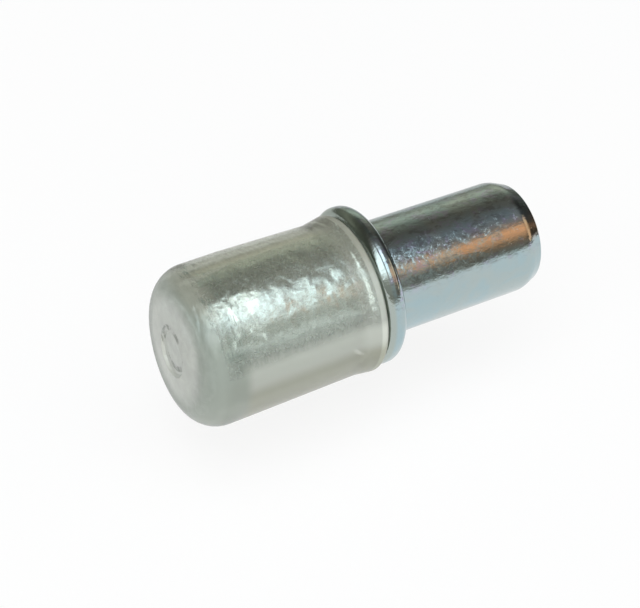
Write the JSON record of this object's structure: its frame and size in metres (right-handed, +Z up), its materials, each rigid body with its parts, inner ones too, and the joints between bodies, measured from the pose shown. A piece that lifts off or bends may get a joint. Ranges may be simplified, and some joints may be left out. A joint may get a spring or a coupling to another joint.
{
  "type": "shelf support pin",
  "caption": "Plated steel peg with a mid collar; one end plugs into a cabinet side, the other wears a clear soft plastic sleeve that a shelf rests on.",
  "frame": {"origin": "centre of the collar's seat face, where the stud leaves the collar, on the pin's axis", "axes": "+X along the stud towards its free end, into the cabinet side; -X along the sleeved head, into the cabinet; +Z up, against the shelf"},
  "size_m": [0.0167, 0.007, 0.0073],
  "materials": {
    "zinc_steel": "bright zinc plate with a faint blue passivation, slightly uneven",
    "clear_plastic": "clear soft plastic with a faint milky olive cast"
  },
  "bodies": {
    "root": {"pin": "zinc_steel", "sleeve": "clear_plastic"}
  },
  "joints": []
}
